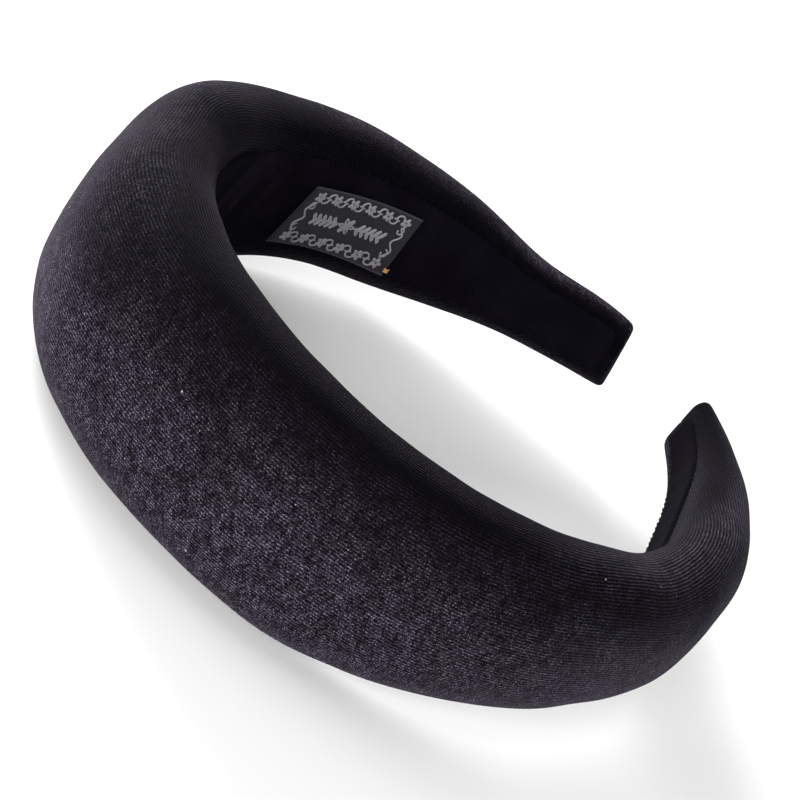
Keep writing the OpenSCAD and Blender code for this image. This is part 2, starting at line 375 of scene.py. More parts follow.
def set_uv(obj, values, name="fabric"):
    """Stores two numbers for each vertex: by default a place along and across the fabric, in millimetres."""
    layer = obj.data.uv_layers.new(name=name)
    corners = np.zeros(len(obj.data.loops), int)
    obj.data.loops.foreach_get("vertex_index", corners)
    layer.data.foreach_set("uv", np.asarray(values, np.float32)[corners].ravel())


def set_face_uv(obj, first_face, values, name):
    """Gives the faces from first_face on their own values, so that the texture isn't squeezed there."""
    layer = obj.data.uv_layers[name]
    for polygon in obj.data.polygons[first_face:]:
        for k in polygon.loop_indices:
            layer.data[k].uv = values[obj.data.loops[k].vertex_index]


def apply_modifiers(obj):
    """Replaces the object's mesh by what its modifiers make of it."""
    graph = bpy.context.evaluated_depsgraph_get()
    mesh = bpy.data.meshes.new_from_object(obj.evaluated_get(graph))
    obj.modifiers.clear()
    old = obj.data
    obj.data = mesh
    bpy.data.meshes.remove(old)
    mesh.name = obj.name


def coordinates(obj):
    """The mesh's points, in metres."""
    co = np.zeros(len(obj.data.vertices) * 3, np.float32)
    obj.data.vertices.foreach_get("co", co)
    return co.reshape(-1, 3).astype(float)


def weld(obj, distance):
    """Joins the points that lie on each other."""
    mesh = bmesh.new()
    mesh.from_mesh(obj.data)
    bmesh.ops.remove_doubles(mesh, verts=mesh.verts[:], dist=distance)
    mesh.to_mesh(obj.data)
    mesh.free()


def smooth_noise(along, across, scale, seed):
    """A soft random height from -1 to 1 for each pair of places, in millimetres."""
    total = np.zeros(np.broadcast(along, across).shape)
    rng = np.random.default_rng(seed)
    waves = 7
    for _ in range(waves):
        angle = rng.uniform(0, 2 * math.pi)
        wave = 2 * math.pi / (scale * rng.uniform(0.7, 1.6))
        phase = rng.uniform(0, 2 * math.pi)
        total = total + np.sin(wave * (along * math.cos(angle) + across * math.sin(angle)) + phase)
    return total / waves * 1.6


# ---------------------------------------------------------------- materials


class Shader:
    """A short way to write node trees: most calls add a node and return its output."""

    def __init__(self, name):
        self.material = bpy.data.materials.new(name)
        self.material.use_nodes = True
        self.tree = self.material.node_tree
        self.surface = self.tree.nodes["Principled BSDF"]

    def node(self, kind, inputs=None, output=0, **settings):
        n = self.tree.nodes.new(kind)
        for key, value in settings.items():
            setattr(n, key, value)
        for key, value in (inputs or {}).items():
            self.feed(n.inputs[key], value)
        return n.outputs[output]

    def feed(self, socket, value):
        if isinstance(value, bpy.types.NodeSocket):
            self.tree.links.new(value, socket)
        else:
            socket.default_value = value

    def math(self, operation, a, b=0.0, c=0.0):
        return self.node("ShaderNodeMath", {0: a, 1: b, 2: c}, operation=operation)

    def add(self, a, b):
        return self.math("ADD", a, b)

    def mul(self, a, b):
        return self.math("MULTIPLY", a, b)

    def mul_add(self, a, b, c):
        """a times b, plus c."""
        return self.math("MULTIPLY_ADD", a, b, c)

    def less(self, a, b):
        return self.math("SUBTRACT", a, b)

    def larger(self, a, b):
        return self.math("MAXIMUM", a, b)

    def wave(self, phase):
        """1 at each whole number of phase, and 0 half way between."""
        return self.mul_add(self.math("COSINE", self.mul(phase, 2 * math.pi)), 0.5, 0.5)

    def ramp(self, value, low, high, to_low=0.0, to_high=1.0):
        """Goes smoothly from to_low, where the value is low, to to_high, where it is high."""
        return self.node(
            "ShaderNodeMapRange",
            {"Value": value, "From Min": low, "From Max": high, "To Min": to_low, "To Max": to_high},
            interpolation_type="SMOOTHSTEP",
        )

    def noise(self, vector, scale, detail=2.0, roughness=0.5):
        inputs = {"Vector": vector, "Scale": scale, "Detail": detail, "Roughness": roughness}
        return self.node("ShaderNodeTexNoise", inputs)

    def mix(self, factor, a, b):
        """The colour a where the factor is 0 and b where it is 1."""
        n = self.tree.nodes.new("ShaderNodeMix")
        n.data_type = "RGBA"
        self.feed(n.inputs[0], factor)
        for socket, value in ((n.inputs[6], a), (n.inputs[7], b)):
            self.feed(socket, (*value, 1.0) if isinstance(value, tuple) else value)
        return n.outputs[2]

    def vector(self, x, y):
        return self.node("ShaderNodeCombineXYZ", {0: x, 1: y})

    def fabric(self, name="fabric"):
        """The two numbers that set_uv stored under this name."""
        uv = self.node("ShaderNodeUVMap", uv_map=name)
        split = self.tree.nodes.new("ShaderNodeSeparateXYZ")
        self.tree.links.new(uv, split.inputs[0])
        return split.outputs[0], split.outputs[1]

    def bump(self, height, distance, strength):
        normal = self.node("ShaderNodeBump", {"Height": height, "Distance": distance, "Strength": strength})
        self.tree.links.new(normal, self.surface.inputs["Normal"])

    def finish(self, **values):
        """Sets the surface's other inputs, with _ for each space in their names."""
        for key, value in values.items():
            self.feed(self.surface.inputs[key.replace("_", " ")], value)
        return self.material


def velvet_material(name, dark, bright, row_pitch):
    """Knitted-back velvet: rows of pile along the band, broken into short tufts, with brushed patches and
    painted light and shade.

    arm_place is the length along from the crown, and share is -1 on the lower and 1 on the upper widest line.
    """
    m = Shader(name)
    along, across = m.fabric()
    arm_place, share = m.fabric("section")
    flat = m.vector(along, across)

    # the rows, which wander a little, their tufts, single fibres, and small and large patches
    drift = m.noise(flat, 0.04, 1.0)
    wander = m.noise(flat, 0.7, 2.0)
    row_place = m.add(m.mul(across, 1 / row_pitch), m.add(m.mul(drift, 2.0), m.mul(wander, 0.7)))
    row = m.wave(row_place)
    row_number = m.math("FLOOR", row_place)
    tuft = m.noise(m.vector(m.mul(along, 1.2), m.mul(row_number, 3.7)), 1.0, 2.0, 0.6)
    fibre = m.noise(m.vector(along, m.mul(across, 1.4)), 2.5, 3.0, 0.85)
    mottle = m.noise(flat, 0.30, 4.0, 0.66)
    cloud = m.noise(flat, 0.055, 2.0, 0.5)

    # painted light and nap: the pile is painted lighter low on the dome and more on the left, where the light
    # falls, and brushed patches vary it at random
    outer_arm = m.ramp(arm_place, -62.0, -112.0)
    left_side = m.mul(m.ramp(arm_place, 5.0, -30.0), m.ramp(arm_place, -95.0, -62.0))
    right_side = m.ramp(arm_place, 10.0, 45.0)
    painted_light_place = m.add(m.mul_add(outer_arm, -1.25, share), m.less(cloud, 0.5))
    painted_light_place = m.mul_add(right_side, -0.12, painted_light_place)
    painted_light_place = m.mul_add(left_side, 0.12, painted_light_place)
    nap_and_painted_light = m.ramp(painted_light_place, 0.62, -0.30, 0.12, 0.80)
    nap_and_painted_light = m.mul(nap_and_painted_light, m.mul_add(left_side, 0.25, 1.0))
    nap_and_painted_light = m.larger(nap_and_painted_light, m.mul(left_side, 0.34))

    # painted shade: where the velvet faces inwards, on the rims and towards the hole, its colour is painted
    # dark
    near_bend = m.mul(m.ramp(arm_place, 50.0, 95.0), m.ramp(arm_place, 182.0, 150.0))
    far_tip = m.ramp(arm_place, -135.0, -165.0)
    near_tip = m.ramp(arm_place, 125.0, 165.0)
    side = m.math("ABSOLUTE", share)
    rim_share = m.ramp(side, 0.55, 1.0)
    bend_shift = m.mul(near_bend, m.mul_add(near_tip, 0.40, -0.62))
    rim_shift = m.mul_add(outer_arm, -0.34, m.mul_add(far_tip, -0.15, bend_shift))
    rim_shift = m.mul_add(left_side, -0.28, rim_shift)
    upper = m.add(rim_shift, m.add(share, 0.40))
    lower = m.mul_add(outer_arm, 0.30, m.mul(share, -1.0))
    inwards = m.larger(lower, upper)
    painted_shade_factor = m.ramp(inwards, 1.28, 0.92, 0.04, 1.0)

    # painted highlights: tufts and single fibres that glint, and on both rims the rows themselves
    patch_and_painted_light = m.mul(m.mul(nap_and_painted_light, painted_shade_factor), m.ramp(mottle, 0.32, 0.70, 0.38, 1.12))
    dash = m.ramp(tuft, 0.34, 0.64, 0.20, 1.30)
    knit = m.mul(m.add(0.12, m.mul(row, 0.88)), dash)
    glint = m.math("POWER", m.ramp(fibre, 0.30, 0.80), 4.0)
    sparkle = m.mul(knit, m.add(0.05, m.mul(glint, 6.4)))
    ridges_and_painted_light = m.mul(m.math("POWER", row, 3.0), m.mul(rim_share, m.add(0.07, m.mul(painted_shade_factor, 0.93))))
    broken = m.mul_add(dash, 0.6, 0.3)
    grain = m.mul(m.mul(broken, m.ramp(mottle, 0.3, 0.7, 0.07, 0.26)), m.add(0.45, m.mul(glint, 3.0)))
    # painted light and shade on the rims' rows: lighter on the lower rim and at the near bend, darker on the
    # upper rim
    off_the_bends = m.less(1.0, m.larger(near_bend, outer_arm))
    upper_rim = m.mul(m.ramp(share, 0.4, 0.85), off_the_bends)
    lower_rim = m.mul(m.ramp(share, -0.60, -1.0), m.ramp(arm_place, 90.0, 50.0))
    ridges_and_painted_light = m.mul(ridges_and_painted_light, m.mul_add(lower_rim, 1.1, 1.0))
    ridges_and_painted_light = m.mul(ridges_and_painted_light, m.mul_add(upper_rim, -0.70, m.mul_add(near_bend, 1.2, 1.0)))
    lit = m.add(m.mul(patch_and_painted_light, sparkle), m.add(m.mul(ridges_and_painted_light, grain), 0.003))
    colour = m.mix(m.math("MINIMUM", lit, 1.0), dark, bright)

    # a few specks of lint
    speck = m.node("ShaderNodeTexVoronoi", {"Vector": flat, "Scale": 0.13}, output="Distance")
    colour = m.mix(m.mul(painted_shade_factor, m.ramp(speck, 0.018, 0.038, 0.8, 0.0)), colour, (0.42, 0.40, 0.40))
    relief = m.mul(rim_share, m.mul_add(upper_rim, -0.30, 0.7))
    height = m.add(m.mul(row, m.add(0.5, relief)), m.add(m.mul(tuft, 0.6), m.mul(fibre, 1.1)))
    m.bump(height, 0.14 * MM, 1.0)
    return m.finish(
        Base_Color=colour,
        Roughness=0.9,
        Specular_IOR_Level=0.02,
        Sheen_Weight=0.088,
        Sheen_Roughness=0.145,
        Sheen_Tint=(0.84, 0.74, 1.0, 1.0),
    )


def lining_material():
    """Short, dull pile without rows, painted lighter near the crown with light streaks on its wrinkles, and
    painted darker towards the tips as shade.
    """
    m = Shader("lining_velvet")
    along, across = m.fabric()
    flat = m.vector(along, across)
    nap = m.noise(flat, 2.4, 3.0, 0.65)
    cloud = m.noise(flat, 0.11, 3.0)
    away = m.math("ABSOLUTE", along)
    stretch = m.vector(m.mul(m.mul_add(across, 0.3, along), 0.20), m.mul(across, 0.03))
    # painted highlights: light streaks where the wrinkles near the crown catch the light
    painted_wrinkle_light = m.mul(m.ramp(m.noise(stretch, 1.0, 2.0), 0.46, 0.66), m.ramp(away, 92.0, 55.0))
    pile = m.mul(m.ramp(nap, 0.35, 0.8), m.ramp(cloud, 0.3, 0.75, 0.25, 1.0))
    # painted shade: darker towards the tips, most on the right arm
    painted_tip_shade = m.mul(m.ramp(away, 105.0, 165.0, 0.42, 0.25), m.ramp(along, 105.0, 150.0, 1.0, 0.45))
    lit = m.add(m.mul(pile, painted_tip_shade), m.mul(painted_wrinkle_light, m.mul_add(pile, 0.9, 0.34)))
    # painted light: lighter near the crown
    lit = m.add(lit, m.ramp(away, 95.0, 60.0, 0.0, 0.12))
    colour = m.mix(lit, (0.0019, 0.0014, 0.0031), (0.0250, 0.0200, 0.0355))
    m.bump(nap, 0.1 * MM, 0.6)
    return m.finish(Base_Color=colour, Roughness=0.9, Specular_IOR_Level=0.02)


def plain_material(name, dark, bright, scale, roughness):
    """Plastic, tape or glue: two tones, blended by a soft grain in the object's own space."""
    m = Shader(name)
    where = m.node("ShaderNodeTexCoord", output="Object")
    grain = m.noise(where, scale, 4.0, 0.6)
    colour = m.mix(m.ramp(grain, 0.3, 0.7), dark, bright)
    m.bump(grain, 0.05 * MM, 0.5)
    return m.finish(Base_Color=colour, Roughness=roughness, Specular_IOR_Level=0.4)


def foam_material():
    """Open-cell foam: pale, with small round pores, painted dark as shade in their hollows."""
    m = Shader("foam")
    where = m.node("ShaderNodeTexCoord", output="Object")
    pore = m.node("ShaderNodeTexVoronoi", {"Vector": where, "Scale": 1100.0}, output="Distance")
    cloud = m.noise(where, 60.0, 2.0)
    tone = m.mix(m.ramp(cloud, 0.3, 0.7), (0.74, 0.70, 0.60), (0.82, 0.79, 0.70))
    # painted shade: the pores' hollows are painted dark
    colour = m.mix(m.ramp(pore, 0.1, 0.45, 0.55, 0.0), tone, (0.36, 0.33, 0.27))
    m.bump(pore, 0.25 * MM, 0.8)
    return m.finish(Base_Color=colour, Roughness=0.95, Specular_IOR_Level=0.2)


def thread_material(name, dark, bright, twist=0.35, specular=0.3):
    """Twisted sewing thread, with the twist as slanted ridges along it."""
    m = Shader(name)
    along, across = m.fabric()
    ply = m.wave(m.add(m.mul(along, 1 / twist), across))
    fuzz = m.noise(m.vector(m.mul(along, 6.0), m.mul(across, 9.0)), 1.0, 2.0)
    colour = m.mix(m.add(m.mul(ply, 0.6), m.mul(fuzz, 0.4)), dark, bright)
    m.bump(ply, 0.05 * MM, 0.7)
    return m.finish(Base_Color=colour, Roughness=0.6, Specular_IOR_Level=specular)


def label_material():
    """Fine plain weave: warp and weft threads that cross over and under."""
    m = Shader("label_weave")
    along, across = m.fabric()
    warp_pitch, weft_pitch = 0.26, 0.34
    warp_place, weft_place = m.mul(along, 1 / warp_pitch), m.mul(across, 1 / weft_pitch)
    warp, weft = m.wave(warp_place), m.wave(weft_place)
    odd = m.math("PINGPONG", m.add(m.math("FLOOR", warp_place), m.math("FLOOR", weft_place)), 1.0)
    over = m.add(m.mul(odd, warp), m.mul(m.less(1.0, odd), weft))
    cloud = m.noise(m.vector(along, across), 0.35, 2.0)
    lit = m.add(m.mul(over, 0.75), m.mul(cloud, 0.35))
    # painted highlight: both long edges are painted lighter, where the lifted edges catch the light
    painted_edge_highlight = m.ramp(m.math("MINIMUM", across, m.less(LABEL_WIDTH, across)), 0.6, 0.25)
    colour = m.mix(lit, (0.006, 0.0054, 0.0078), (0.0215, 0.0197, 0.0272))
    colour = m.mix(m.mul(painted_edge_highlight, 0.5), colour, (0.075, 0.070, 0.091))
    m.bump(over, 0.06 * MM, 0.8)
    return m.finish(Base_Color=colour, Roughness=0.7, Specular_IOR_Level=0.15, Sheen_Weight=0.05)


def floor_material():
    m = Shader("pale_floor")
    where = m.node("ShaderNodeTexCoord", output="Object")
    grain = m.noise(where, 3.0, 2.0)
    colour = m.mix(grain, (0.90, 0.90, 0.90), (0.92, 0.92, 0.92))
    return m.finish(Base_Color=colour, Roughness=0.9, Specular_IOR_Level=0.1)


VELVET_LOOK = velvet_material("velvet", (0.0008, 0.0006, 0.0012), (0.228, 0.195, 0.273), row_pitch=0.70)
LINING_LOOK = lining_material()
FOAM_LOOK = foam_material()
HOOP_LOOK = plain_material("hoop_plastic", (0.60, 0.60, 0.57), (0.68, 0.68, 0.65), 90.0, roughness=0.4)
TAPE_LOOK = plain_material("adhesive_tape", (0.80, 0.79, 0.74), (0.88, 0.87, 0.82), 400.0, roughness=0.7)
GLUE_LOOK = plain_material("hot_melt_glue", (0.66, 0.56, 0.33), (0.78, 0.69, 0.45), 160.0, roughness=0.25)
SEAM_LOOK = thread_material(
    "sewing_thread", (0.0006, 0.0005, 0.0009), (0.0030, 0.0025, 0.0040), specular=0.04
)
LABEL_LOOK = label_material()
PALE_LOOK = thread_material("label_pale_thread", (0.15, 0.142, 0.158), (0.33, 0.322, 0.345), twist=0.3)
GOLD_LOOK = thread_material("tack_thread", (0.34, 0.15, 0.03), (0.72, 0.40, 0.12), twist=0.3)

# ---------------------------------------------------------------- the pieces that run from tip to tip

STRIP_EDGE_ANGLE = math.radians(50)  # a strip's flat faces stay flat and its softened edges round


def bend_at_crown(obj, look):
    """Gives a piece its look, and hides both halves of its CAD layer, which it stands for."""
    obj.data.materials.append(look)
    nodes = (f"{obj.name}_left", f"{obj.name}_right")
    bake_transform(obj)
    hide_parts(*nodes)


def stations(step, inset=0.0):
    """Lengths along from one end to the other, at equal steps, with one at the crown."""
    reach = HALF_LENGTH - inset
    count = int(round(2 * reach / step)) // 2 * 2 + 1
    return np.linspace(-reach, reach, count)


def loft(name, s, across, height):
    """A closed band of one section per station, with flat ends."""
    rows, columns = across.shape
    points = place(s[:, None], height, across).reshape(-1, 3)
    return new_object(name, points, closed_faces(rows, columns))


def strip_section(s, from_, to, low, high, bevel):
    """A flat strip's section with softened long edges, one row for each station."""
    from_, to = (np.broadcast_to(v, s.shape)[:, None] for v in (from_, to))
    across = np.concatenate([from_, from_, from_ + bevel, to - bevel, to, to, to - bevel, from_ + bevel], 1)
    levels = [low + bevel, high - bevel, high, high, high - bevel, low + bevel, low, low]
    return across, np.broadcast_to(levels, across.shape)


def make_strip(name, from_, to, low, high, bevel, look, inset):
    """A strip between two edges, which are given as functions of the length along."""
    s = stations(LAYER_STEP, inset)
    obj = loft(name, s, *strip_section(s, from_(s), to(s), low, high, bevel))
    obj.data.set_sharp_from_angle(angle=STRIP_EDGE_ANGLE)
    bend_at_crown(obj, look)


def section_lengths(s, across, height):
    """Signed length round each section, from the ridge of the dome."""
    step = np.hypot(np.diff(across, axis=1), np.diff(height, axis=1))
    total = np.concatenate([np.zeros((len(s), 1)), np.cumsum(step, 1)], 1)
    return total - total[:, across.shape[1] // 2][:, None]


def ridge_lengths(s):
    """Length of the fabric along the ridge of the dome, where it is pulled tight."""
    ridge = place(s, thickness(s), 0.0)
    step = np.linalg.norm(np.diff(ridge, axis=0), axis=1)
    total = np.concatenate([[0.0], np.cumsum(step)])
    return total - total[len(s) // 2]


def settle(obj, pinned, frames, pressure, cap):
    """Lets the fabric settle as cloth over its padding. No point moves further than cap, in metres."""
    start = coordinates(obj)
    group = obj.vertex_groups.new(name="pinned")
    group.add([int(i) for i in np.nonzero(pinned)[0]], 1.0, "REPLACE")
    cloth = obj.modifiers.new("Cloth", "CLOTH")
    setting = cloth.settings
    setting.quality = 6
    setting.mass = 0.2
    setting.tension_stiffness = setting.compression_stiffness = 18
    setting.shear_stiffness = 8
    setting.bending_stiffness = 0.6
    setting.use_pressure = True
    setting.uniform_pressure_force = pressure
    setting.vertex_group_mass = "pinned"
    setting.effector_weights.gravity = 0
    setting.air_damping = 6
    cloth.collision_settings.use_collision = False
    scene = bpy.context.scene
    scene.frame_start, scene.frame_end = 1, frames
    for f in range(1, frames + 1):
        scene.frame_set(f)
    apply_modifiers(obj)
    scene.frame_set(1)
    moved = coordinates(obj) - start
    size = np.linalg.norm(moved, axis=1, keepdims=True)
    moved *= np.minimum(1.0, cap / np.maximum(size, 1e-9))
    obj.data.vertices.foreach_set("co", (start + moved).astype(np.float32).ravel())
    obj.data.update()
    obj.vertex_groups.clear()


def velvet_cover():
    """One sleeve with turned-in edges and closed ends."""
    s = stations(2.6)
    # rounded ends: a few sections close together, each a little smaller than the last
    end_radius = 1.3
    bend = np.radians([0, 25, 50, 70, 90])
    ends = HALF_LENGTH - end_radius * (1 - np.sin(bend))
    inset = end_radius * (1 - np.cos(bend))
    inner = s[np.abs(s) < HALF_LENGTH - end_radius - 1.0]
    s = np.concatenate([-ends[::-1], inner, ends])
    shrink = np.concatenate([inset[::-1], np.zeros(len(inner)), inset])
    across, height = skin(s, HEM_LOW)
    middle = (HEM_LOW + thickness(s)) / 2
    half_height = (thickness(s) - HEM_LOW) / 2
    across = across * (1 - shrink / half_width(s))[:, None]
    height = middle[:, None] + (height - middle[:, None]) * (1 - shrink / half_height)[:, None]
    lengths = section_lengths(s, across, height)
    along = np.broadcast_to(ridge_lengths(s)[:, None], lengths.shape)

    # soft unevenness of the stuffing, and crosswise puckers where the inner corners are shortest
    side = np.abs(across) / half_width(s)[:, None]
    below = np.clip((rim(s)[:, None] - height) / np.maximum(rim(s)[:, None], 1), 0, 1)
    crown = np.exp(-((s / 95.0) ** 2))[:, None]
    taut = np.clip((HALF_LENGTH - np.abs(s)) / 30.0, 0, 1)[:, None]
    uneven = 0.35 * smooth_noise(along, lengths, 38.0, 3) + 0.16 * smooth_noise(along, lengths, 15.0, 5)
    wave = np.sin(along / 2.1 + 1.4 * smooth_noise(along, lengths, 30.0, 8) + 0.10 * lengths)
    pucker = 0.10 * crown * np.sin(math.pi * below) * np.maximum(wave, -0.3)
    glued = HEM_LOW + 0.2
    free = (height > glued).astype(float)
    height = height + (uneven * taut * np.clip((height - HEM_LOW) / 6.0, 0, 1) + pucker) * free
    across = across + 0.2 * smooth_noise(along, np.sign(across) * 20.0, 33.0, 11) * taut * side * free

    rows, columns = across.shape
    points = place(s[:, None], height, across).reshape(-1, 3)
    faces = grid_faces(rows, columns)
    # each end closes like a ladder between the lower and the upper half of its last section
    end_faces = len(faces)
    for base, flip in ((0, False), ((rows - 1) * columns, True)):
        for j in range(columns // 2 - 1):
            rung = (base + j, base + j + 1, base + columns - 2 - j, base + columns - 1 - j)
            faces.append(rung[::-1] if flip else rung)
        middle_point = base + columns // 2
        tri = (middle_point - 1, middle_point, middle_point + 1)
        faces.append(tri[::-1] if flip else tri)
    obj = new_object("velvet_cover", points, faces)
    first, last = CORNER_POINTS + HEM_POINTS, columns - 1 - CORNER_POINTS - HEM_POINTS
    widest = np.where(lengths < 0, -lengths[:, first : first + 1], lengths[:, last : last + 1])
    along_hoop = np.broadcast_to(s[:, None], lengths.shape)
    set_uv(obj, pairs(along, lengths))
    set_uv(obj, pairs(along_hoop, lengths / widest), "section")
    set_face_uv(obj, end_faces, pairs(along + height, across), "fabric")
    set_face_uv(obj, end_faces, pairs(along_hoop, across / half_width(s)[:, None]), "section")
    still = (height <= glued) | (np.abs(s)[:, None] > HALF_LENGTH - end_radius - 0.1)
    settle(obj, still.ravel(), frames=14, pressure=3.0, cap=1.2 * MM)
    weld(obj, distance=0.005 * MM)
    thick = obj.modifiers.new("thickness", "SOLIDIFY")
    thick.thickness = VELVET * MM
    thick.offset = -1
    thick.use_even_offset = False
    fine = obj.modifiers.new("smooth", "SUBSURF")
    fine.levels = fine.render_levels = 1
    fine.uv_smooth = "PRESERVE_BOUNDARIES"
    apply_modifiers(obj)
    obj.data.polygons.foreach_set("use_smooth", [True] * len(obj.data.polygons))
    bend_at_crown(obj, VELVET_LOOK)


def foam_pad():
    """The domed pad, with a flat face on the hoop."""
    s = stations(LAYER_STEP, END_GAP)
    grow = VELVET + FIT_GAP + FOAM_SLACK
    dome_across, dome_height = dome(s, grow, 25)
    depth = rim(s) - HEM_HIGH - FIT_GAP
    last = np.arcsin((rim(s) - FOAM_LOW) / depth)[:, None]
    a = last * np.linspace(0, 1, 6)[None, 1:]
    side_across = half_width(s)[:, None] - grow - corner(s)[:, None] * (1 - np.cos(a))
    side_height = rim(s)[:, None] - depth[:, None] * np.sin(a)
    across = np.concatenate([-side_across[:, ::-1], dome_across, side_across], 1)
    height = np.concatenate([side_height[:, ::-1], dome_height, side_height], 1)
    height = np.maximum(height, FOAM_LOW)
    obj = loft("foam_pad", s, across, height)
    obj.data.set_sharp_from_angle(angle=math.radians(40))
    bend_at_crown(obj, FOAM_LOOK)


def hem_glue():
    """Two beads, one under each turned-in edge, as one piece."""
    s = stations(LAYER_STEP, END_GAP)
    points, faces = [], []
    for edge in (-1, 1):
        inner = hem_edge(s, edge) + edge * GLUE_MARGIN
        outer = edge * (flat_half(s) - VELVET - GLUE_MARGIN)
        low, high = (inner, outer) if edge > 0 else (outer, inner)
        across, height = strip_section(s, low, high, HEM_HIGH, HOOP_LOW, bevel=0.03)
        rows, columns = across.shape
        base = len(points) * rows * columns
        points.append(place(s[:, None], height, across).reshape(-1, 3))
        faces += closed_faces(rows, columns, base)
    obj = new_object("hem_glue", np.concatenate(points), faces)
    obj.data.set_sharp_from_angle(angle=STRIP_EDGE_ANGLE)
    bend_at_crown(obj, GLUE_LOOK)


def lining_ripple(s, across):
    """Height of the lining's crosswise wrinkles, strongest between the crown and the label."""
    centre, spread, pitch = 62.0, 26.0, 7.5
    strength = 0.20 + 0.8 * np.exp(-(((np.abs(s) - centre) / spread) ** 2))
    slant = s + 0.18 * across + 1.2 * smooth_noise(s, across, 40.0, 21)
    fold = np.sin(slant * 2 * math.pi / pitch) ** 3 * (0.7 + 0.3 * smooth_noise(s, across, 24.0, 23))
    return strength * 0.45 * fold * (np.abs(s) < HALF_LENGTH - 10)


def inner_lining():
    """A flat band over the turned-in edges, with softened edges and wrinkles."""
    s = stations(1.25, END_INSET)
    reach = HALF_LENGTH - END_INSET
    share = np.linspace(-1, 1, 25)[None, :]
    end = np.clip((reach - np.abs(s)) / 3.0, 0, 1)[:, None]
    rounded_end = 0.93 + 0.07 * np.sqrt(1 - (1 - end) ** 2)
    trim = rounded_end * (1 + 0.01 * smooth_noise(s[:, None], 0.0, 9.0, 31))
    lower, upper = (lining_edge(s, edge)[:, None] * trim for edge in (-1, 1))
    across = lower + (upper - lower) * (share + 1) / 2
    fall = np.clip((1 - np.abs(share)) / 0.12, 0, 1)
    rounded = np.sqrt(1 - (1 - fall) ** 2)
    ripple = lining_ripple(s[:, None], across) * rounded
    back_height = LINING - 0.02
    face = back_height - back_height * (0.35 + 0.65 * rounded) - ripple
    back = np.full_like(face, back_height)
    ring_across = np.concatenate([across, across[:, ::-1]], 1)
    ring_height = np.concatenate([back, face[:, ::-1]], 1)
    obj = loft("inner_lining", s, ring_across, ring_height)
    along = np.broadcast_to(s[:, None], ring_across.shape)
    set_uv(obj, pairs(along, ring_across))
    bend_at_crown(obj, LINING_LOOK)


def tube(path, radius, sides, points, faces, uvs):
    """Adds a thread with rounded ends along a path of points in millimetres."""
    path = np.asarray(path, float)
    count = len(path)
    direction = np.gradient(path, axis=0)
    direction /= np.linalg.norm(direction, axis=1, keepdims=True)
    helper = np.array([0.0, 0.0, 1.0])
    if abs(direction[0] @ helper) > 0.9:
        helper = np.array([1.0, 0.0, 0.0])
    side = np.cross(direction, helper)
    side /= np.linalg.norm(side, axis=1, keepdims=True)
    up = np.cross(direction, side)
    base = sum(len(p) for p in points)
    a = np.linspace(0, 2 * math.pi, sides, endpoint=False)
    size = np.full(count, float(radius))
    size[0] = size[-1] = radius * THREAD_END
    rings = (
        path[:, None, :]
        + size[:, None, None] * np.cos(a)[None, :, None] * side[:, None, :]
        + size[:, None, None] * np.sin(a)[None, :, None] * up[:, None, :]
    )
    points.append(rings.reshape(-1, 3))
    faces += closed_faces(count, sides, base)
    length = np.concatenate([[0], np.cumsum(np.linalg.norm(np.diff(path, axis=0), axis=1))])
    uvs.append(pairs(np.repeat(length, sides), np.tile(np.arange(sides) / sides, count)))


def seam_stitches(name, edge):
    """Slanted whip stitches that tie one long edge of the lining down to the cover.

    Each stitch goes from the lining's face to the cover's and bows out between them.
    """
    points, faces, uvs = [], [], []
    reach = HALF_LENGTH - END_INSET - STITCH_MARGIN
    count = int(2 * reach / STITCH_PITCH)
    rng = np.random.default_rng(7 if edge > 0 else 8)
    radius = 0.3 * THREAD
    lining_face, step_up, bow = 0.25, 0.42, 0.28
    for k in range(count + 1):
        s0 = -reach + 2 * reach * k / count + rng.uniform(-0.18, 0.18)
        t = np.linspace(0, 1, 7)
        s = s0 + STITCH_ADVANCE * (t - 0.5)
        line_edge = lining_edge(np.array([s0]), edge)[0]
        stitch_reach = STITCH_REACH + rng.uniform(-0.15, 0.15)
        across = line_edge + edge * (stitch_reach * t - STITCH_START)
        height = lining_face + step_up * t ** 1.5 - radius * 0.6 - bow * np.sin(math.pi * t)
        tube(place(s, height, across), radius, 7, points, faces, uvs)
    obj = new_object(name, np.concatenate(points), faces)
    set_uv(obj, np.concatenate(uvs))
    bend_at_crown(obj, SEAM_LOOK)


# ---------------------------------------------------------------- the label, which rides on the left arm


def label_place(x, y, lift):
    """A point on the label: x along from its near end, y across from its lower edge, lift above its face."""
    x, y = np.asarray(x, float), np.asarray(y, float)
    s = -(LABEL_START + x + LABEL_SLANT * (2 * y / LABEL_WIDTH - 1) * (1 - x / LABEL_LENGTH))
    across = y - LABEL_WIDTH / 2 - LABEL_DROP
    wavy = 0.14 * np.sin(x / LABEL_LENGTH * 2 * math.pi + 0.6)
    return place(s, -LABEL_LIFT - LABEL_THICKNESS - lift - wavy - LABEL_SLACK, across)


def spiral(centre, size, start, way):
    """A small scroll that winds in towards its centre."""
    winding = 0.85 * 2 * math.pi
    t = np.linspace(0, 1, 18)
    angle = start + way * winding * t
    reach = size * (1 - 0.72 * t)
    return np.stack([centre[0] + reach * np.cos(angle), centre[1] + reach * np.sin(angle)], 1)


def rosette(centre, size, petals):
    """The outline of a small flower."""
    angle = np.linspace(0, 2 * math.pi, 12 * petals + 1)
    petal = size * (0.62 + 0.38 * np.cos(petals * angle))
    return np.stack([centre[0] + petal * np.cos(angle), centre[1] + petal * np.sin(angle)], 1)


